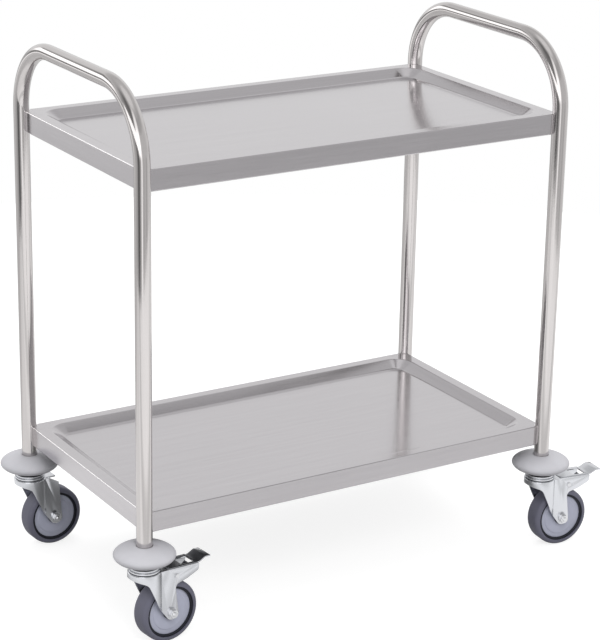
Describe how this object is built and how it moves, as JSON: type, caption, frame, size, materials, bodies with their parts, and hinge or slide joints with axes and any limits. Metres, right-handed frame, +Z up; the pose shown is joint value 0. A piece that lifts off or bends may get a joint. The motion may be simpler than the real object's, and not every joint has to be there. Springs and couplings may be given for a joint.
{
  "type": "kitchen trolley",
  "caption": "Two-tier stainless steel serving trolley with push handles at both ends, corner bumpers and swivel castors, the front ones braked.",
  "frame": {"origin": "on the floor, midway between the four legs", "axes": "+X along the trays from the left handle to the right handle, +Y from the front to the back, +Z up"},
  "size_m": [0.9221, 0.518, 0.89],
  "materials": {
    "tube_steel": "polished stainless tube",
    "tray_steel": "fine brushed stainless sheet",
    "fixing_steel": "plain stainless steel",
    "hardware_steel": "bright zinc plated steel",
    "zinc_plate": "bright zinc plated pressed steel",
    "bumper_grey": "soft matt light grey",
    "tyre_rubber": "matt blue-grey rubber",
    "core_plastic": "black moulded plastic",
    "cap_plastic": "matt grey moulded plastic"
  },
  "bodies": {
    "frame": {"bumper_back_left": "bumper_grey", "bumper_back_right": "bumper_grey", "bumper_front_left": "bumper_grey", "bumper_front_right": "bumper_grey", "castor_lower_races": "hardware_steel", "castor_race_back_left": "zinc_plate", "castor_race_back_right": "zinc_plate", "castor_race_front_left": "zinc_plate", "castor_race_front_right": "zinc_plate", "castor_stem_back_left": "hardware_steel", "castor_stem_back_right": "hardware_steel", "castor_stem_front_left": "hardware_steel", "castor_stem_front_right": "hardware_steel", "left_frame": "tube_steel", "leg_inserts": "fixing_steel", "lower_tray": "tray_steel", "lower_tray_bolts": "fixing_steel", "lower_tray_corner_plates": "fixing_steel", "right_frame": "tube_steel", "swivel_balls": "hardware_steel", "tray_bolt_inserts": "fixing_steel", "upper_tray": "tray_steel", "upper_tray_bolts": "fixing_steel", "upper_tray_corner_plates": "fixing_steel"},
    "castor_front_left": {"axle_bolt_front_left": "hardware_steel", "axle_nut_front_left": "hardware_steel", "brake_pin_front_left": "zinc_plate", "fork_front_left": "zinc_plate", "wheel_sleeve_front_left": "hardware_steel"},
    "wheel_front_left": {"tyre_front_left": "tyre_rubber", "wheel_caps_front_left": "cap_plastic", "wheel_core_front_left": "core_plastic"},
    "castor_back_left": {"axle_bolt_back_left": "hardware_steel", "axle_nut_back_left": "hardware_steel", "fork_back_left": "zinc_plate", "wheel_sleeve_back_left": "hardware_steel"},
    "wheel_back_left": {"tyre_back_left": "tyre_rubber", "wheel_caps_back_left": "cap_plastic", "wheel_core_back_left": "core_plastic"},
    "castor_front_right": {"axle_bolt_front_right": "hardware_steel", "axle_nut_front_right": "hardware_steel", "brake_pin_front_right": "zinc_plate", "fork_front_right": "zinc_plate", "wheel_sleeve_front_right": "hardware_steel"},
    "wheel_front_right": {"tyre_front_right": "tyre_rubber", "wheel_caps_front_right": "cap_plastic", "wheel_core_front_right": "core_plastic"},
    "castor_back_right": {"axle_bolt_back_right": "hardware_steel", "axle_nut_back_right": "hardware_steel", "fork_back_right": "zinc_plate", "wheel_sleeve_back_right": "hardware_steel"},
    "wheel_back_right": {"tyre_back_right": "tyre_rubber", "wheel_caps_back_right": "cap_plastic", "wheel_core_back_right": "core_plastic"},
    "brake_front_left": {"brake_pedal_front_left": "zinc_plate", "brake_shoe_front_left": "zinc_plate"},
    "brake_front_right": {"brake_pedal_front_right": "zinc_plate", "brake_shoe_front_right": "zinc_plate"}
  },
  "joints": [
    {"name": "castor_front_left_swivel", "type": "hinge", "parent": "frame", "child": "castor_front_left", "pos_m": [-0.38, -0.21, 0.125], "axis": [0, 0, 1], "continuous": true},
    {"name": "wheel_front_left_spin", "type": "hinge", "parent": "castor_front_left", "child": "wheel_front_left", "pos_m": [-0.34221, -0.20603, 0.0508], "axis": [-0.1045, 0.9945, 0], "continuous": true},
    {"name": "brake_front_left_press", "type": "hinge", "parent": "castor_front_left", "child": "brake_front_left", "pos_m": [-0.33326, -0.20509, 0.112], "axis": [-0.1045, 0.9945, 0], "range_deg": [0, 11]},
    {"name": "castor_back_left_swivel", "type": "hinge", "parent": "frame", "child": "castor_back_left", "pos_m": [-0.38, 0.21, 0.125], "axis": [0, 0, 1], "continuous": true},
    {"name": "wheel_back_left_spin", "type": "hinge", "parent": "castor_back_left", "child": "wheel_back_left", "pos_m": [-0.34205, 0.21199, 0.0508], "axis": [-0.0523, 0.9986, 0], "continuous": true},
    {"name": "castor_front_right_swivel", "type": "hinge", "parent": "frame", "child": "castor_front_right", "pos_m": [0.38, -0.21, 0.125], "axis": [0, 0, 1], "continuous": true},
    {"name": "wheel_front_right_spin", "type": "hinge", "parent": "castor_front_right", "child": "wheel_front_right", "pos_m": [0.41786, -0.21331, 0.0508], "axis": [0.0872, 0.9962, 0], "continuous": true},
    {"name": "brake_front_right_press", "type": "hinge", "parent": "castor_front_right", "child": "brake_front_right", "pos_m": [0.42682, -0.2141, 0.112], "axis": [0.0872, 0.9962, 0], "range_deg": [0, 11]},
    {"name": "castor_back_right_swivel", "type": "hinge", "parent": "frame", "child": "castor_back_right", "pos_m": [0.38, 0.21, 0.125], "axis": [0, 0, 1], "continuous": true},
    {"name": "wheel_back_right_spin", "type": "hinge", "parent": "castor_back_right", "child": "wheel_back_right", "pos_m": [0.41798, 0.21133, 0.0508], "axis": [-0.0349, 0.9994, 0], "continuous": true}
  ]
}
